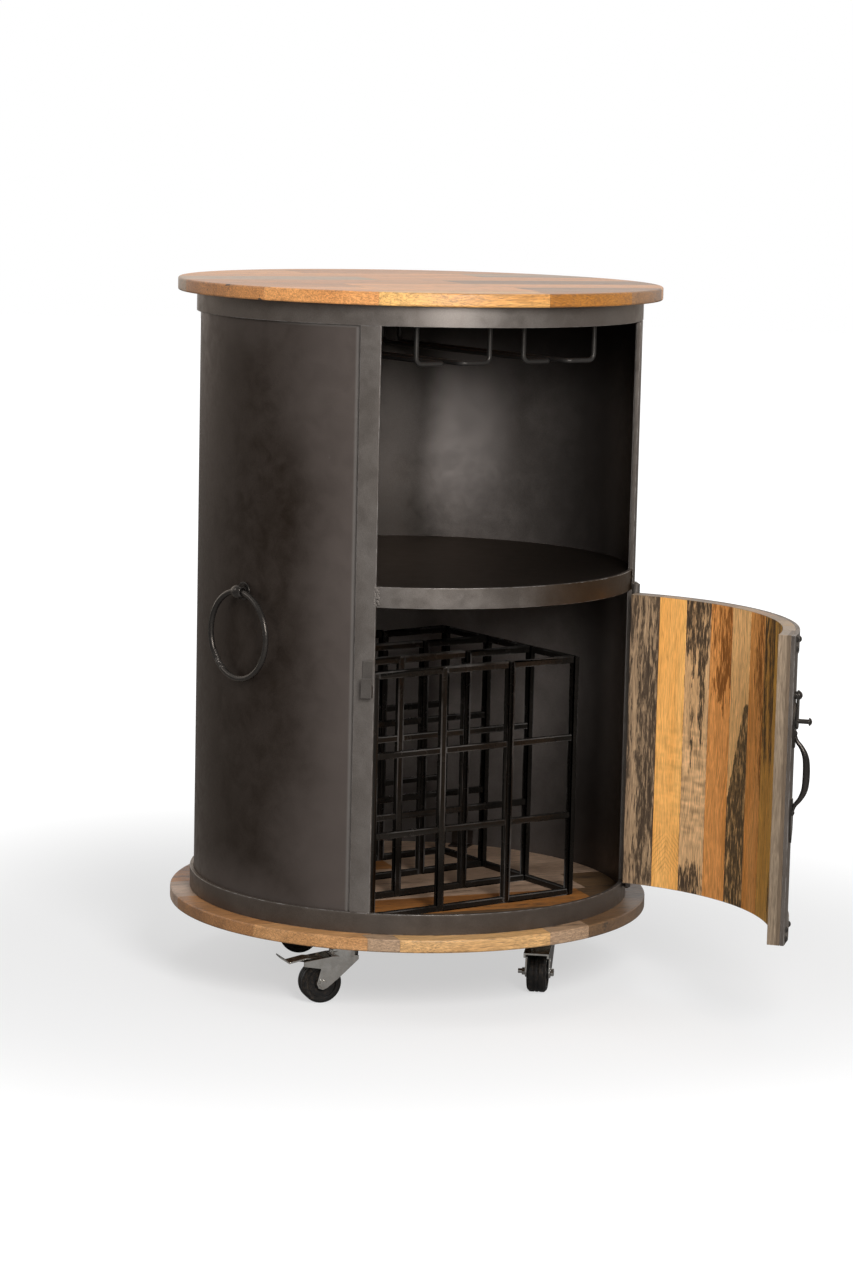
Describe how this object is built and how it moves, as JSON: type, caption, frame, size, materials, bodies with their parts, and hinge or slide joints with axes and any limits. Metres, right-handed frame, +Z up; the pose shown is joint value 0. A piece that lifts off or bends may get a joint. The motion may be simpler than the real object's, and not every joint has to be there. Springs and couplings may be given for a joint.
{
  "type": "barrel bar cabinet",
  "caption": "Round steel drum bar cabinet with plank top and base, open shelf with glass racks, wine rack behind a curved hinged stave door, ring handles and swivel castors.",
  "frame": {"origin": "on the floor under the drum's axis", "axes": "+Z up along the drum's axis, the front opening faces -Y, +X to the right seen from the front"},
  "size_m": [0.6019, 0.8902, 0.873],
  "materials": {
    "top_wood": "oiled mango planks, satin",
    "base_wood": "oiled mango planks, satin",
    "batten_wood": "sawn",
    "frame_steel": "waxed gunmetal grey, satin",
    "hinge_steel": "waxed gunmetal grey, satin",
    "drum_steel": "waxed brown black, satin",
    "tab_steel": "waxed brown black, satin",
    "shelf_steel": "waxed brown black, satin",
    "glass_wire": "black, satin",
    "rack_black": "black, semi-gloss",
    "forged_iron": "blackened, satin",
    "rivet_steel": "blackened, satin",
    "zinc": "zinc plated",
    "fork_zinc": "zinc plated",
    "axle_zinc": "zinc plated",
    "wheel_rubber": "matte black",
    "stave_01": "oiled mango stave, satin",
    "stave_02": "oiled mango stave, satin",
    "stave_03": "oiled mango stave, satin",
    "stave_04": "oiled mango stave, satin",
    "stave_05": "oiled mango stave, satin",
    "stave_06": "oiled mango stave, satin",
    "stave_07": "oiled mango stave, satin",
    "stave_08": "oiled mango stave, satin",
    "stave_09": "oiled mango stave, satin",
    "stave_10": "oiled mango stave, satin"
  },
  "bodies": {
    "cabinet": {"top_board": "top_wood", "base_board": "base_wood", "base_battens": "batten_wood", "top_hoop": "frame_steel", "bottom_hoop": "frame_steel", "left_stile": "frame_steel", "right_stile": "frame_steel", "shelf_band": "frame_steel", "hinge_leaves_fixed": "hinge_steel", "hinge_pins": "hinge_steel", "latch_catch": "hinge_steel", "drum_skin": "drum_steel", "drum_tabs": "tab_steel", "shelf_plate": "shelf_steel", "glass_rack_left": "glass_wire", "glass_rack_right": "glass_wire", "wine_grid_1": "rack_black", "wine_grid_2": "rack_black", "wine_grid_3": "rack_black", "wine_grid_4": "rack_black", "wine_rack_rails": "rack_black", "ring_eyes": "forged_iron", "tab_screws": "zinc", "castor_screws": "zinc", "castor_plates": "zinc"},
    "door": {"door_stave_01": "stave_01", "door_stave_02": "stave_02", "door_stave_03": "stave_03", "door_stave_04": "stave_04", "door_stave_05": "stave_05", "door_stave_06": "stave_06", "door_stave_07": "stave_07", "door_stave_08": "stave_08", "door_stave_09": "stave_09", "door_stave_10": "stave_10", "door_cross_bars": "frame_steel", "door_edge_bars": "frame_steel", "door_rivets": "rivet_steel", "hinge_leaves_door": "hinge_steel", "door_handle": "forged_iron", "handle_screws": "rivet_steel", "latch_rivet": "forged_iron"},
    "latch": {"latch_arm": "forged_iron"},
    "ring_left": {"ring_left": "forged_iron"},
    "ring_right": {"ring_right": "forged_iron"},
    "castor_front_left": {"fork_front_left": "fork_zinc", "axle_front_left": "axle_zinc"},
    "wheel_front_left": {"wheel_front_left": "wheel_rubber"},
    "pedal_front_left": {"brake_front_left": "fork_zinc"},
    "castor_front_right": {"fork_front_right": "fork_zinc", "axle_front_right": "axle_zinc"},
    "wheel_front_right": {"wheel_front_right": "wheel_rubber"},
    "castor_rear_left": {"fork_rear_left": "fork_zinc", "axle_rear_left": "axle_zinc"},
    "wheel_rear_left": {"wheel_rear_left": "wheel_rubber"},
    "castor_rear_right": {"fork_rear_right": "fork_zinc", "axle_rear_right": "axle_zinc"},
    "wheel_rear_right": {"wheel_rear_right": "wheel_rubber"},
    "pedal_rear_right": {"brake_rear_right": "fork_zinc"}
  },
  "joints": [
    {"name": "door_hinge", "type": "hinge", "parent": "cabinet", "child": "door", "pos_m": [0.19283, -0.20508, 0.317], "axis": [0, 0, 1], "range_deg": [-81, 90]},
    {"name": "latch_swing", "type": "hinge", "parent": "door", "child": "latch", "pos_m": [0.14312, -0.57417, 0.42797], "axis": [-0.6557, 0.755, 0], "range_deg": [0, 110]},
    {"name": "ring_left_swing", "type": "hinge", "parent": "cabinet", "child": "ring_left", "pos_m": [-0.27841, -0.03418, 0.505], "axis": [-0.1219, 0.9925, 0], "range_deg": [0, 170]},
    {"name": "ring_right_swing", "type": "hinge", "parent": "cabinet", "child": "ring_right", "pos_m": [0.27841, -0.03418, 0.505], "axis": [-0.1219, -0.9925, 0], "range_deg": [0, 170]},
    {"name": "swivel_front_left", "type": "hinge", "parent": "cabinet", "child": "castor_front_left", "pos_m": [-0.15858, -0.09661, 0.07], "axis": [0, 0, 1], "continuous": true},
    {"name": "roll_front_left", "type": "hinge", "parent": "castor_front_left", "child": "wheel_front_left", "pos_m": [-0.18727, -0.08783, 0.025], "axis": [-0.2924, -0.9563, 0], "continuous": true},
    {"name": "brake_front_left", "type": "hinge", "parent": "castor_front_left", "child": "pedal_front_left", "pos_m": [-0.18631, -0.08813, 0.0535], "axis": [-0.2924, -0.9563, 0], "range_deg": [0, 12]},
    {"name": "swivel_front_right", "type": "hinge", "parent": "cabinet", "child": "castor_front_right", "pos_m": [0.09661, -0.15858, 0.07], "axis": [0, 0, 1], "continuous": true},
    {"name": "roll_front_right", "type": "hinge", "parent": "castor_front_right", "child": "wheel_front_right", "pos_m": [0.07615, -0.18052, 0.025], "axis": [0.7314, -0.682, 0], "continuous": true},
    {"name": "swivel_rear_left", "type": "hinge", "parent": "cabinet", "child": "castor_rear_left", "pos_m": [-0.09661, 0.15858, 0.07], "axis": [0, 0, 1], "continuous": true},
    {"name": "roll_rear_left", "type": "hinge", "parent": "castor_rear_left", "child": "wheel_rear_left", "pos_m": [-0.07184, 0.14165, 0.025], "axis": [0.5642, 0.8256, 0], "continuous": true},
    {"name": "swivel_rear_right", "type": "hinge", "parent": "cabinet", "child": "castor_rear_right", "pos_m": [0.15858, 0.09661, 0.07], "axis": [0, 0, 1], "continuous": true},
    {"name": "roll_rear_right", "type": "hinge", "parent": "castor_rear_right", "child": "wheel_rear_right", "pos_m": [0.15337, 0.12615, 0.025], "axis": [-0.9848, -0.1736, 0], "continuous": true},
    {"name": "brake_rear_right", "type": "hinge", "parent": "castor_rear_right", "child": "pedal_rear_right", "pos_m": [0.15354, 0.12516, 0.0535], "axis": [-0.9848, -0.1736, 0], "range_deg": [0, 12]}
  ]
}
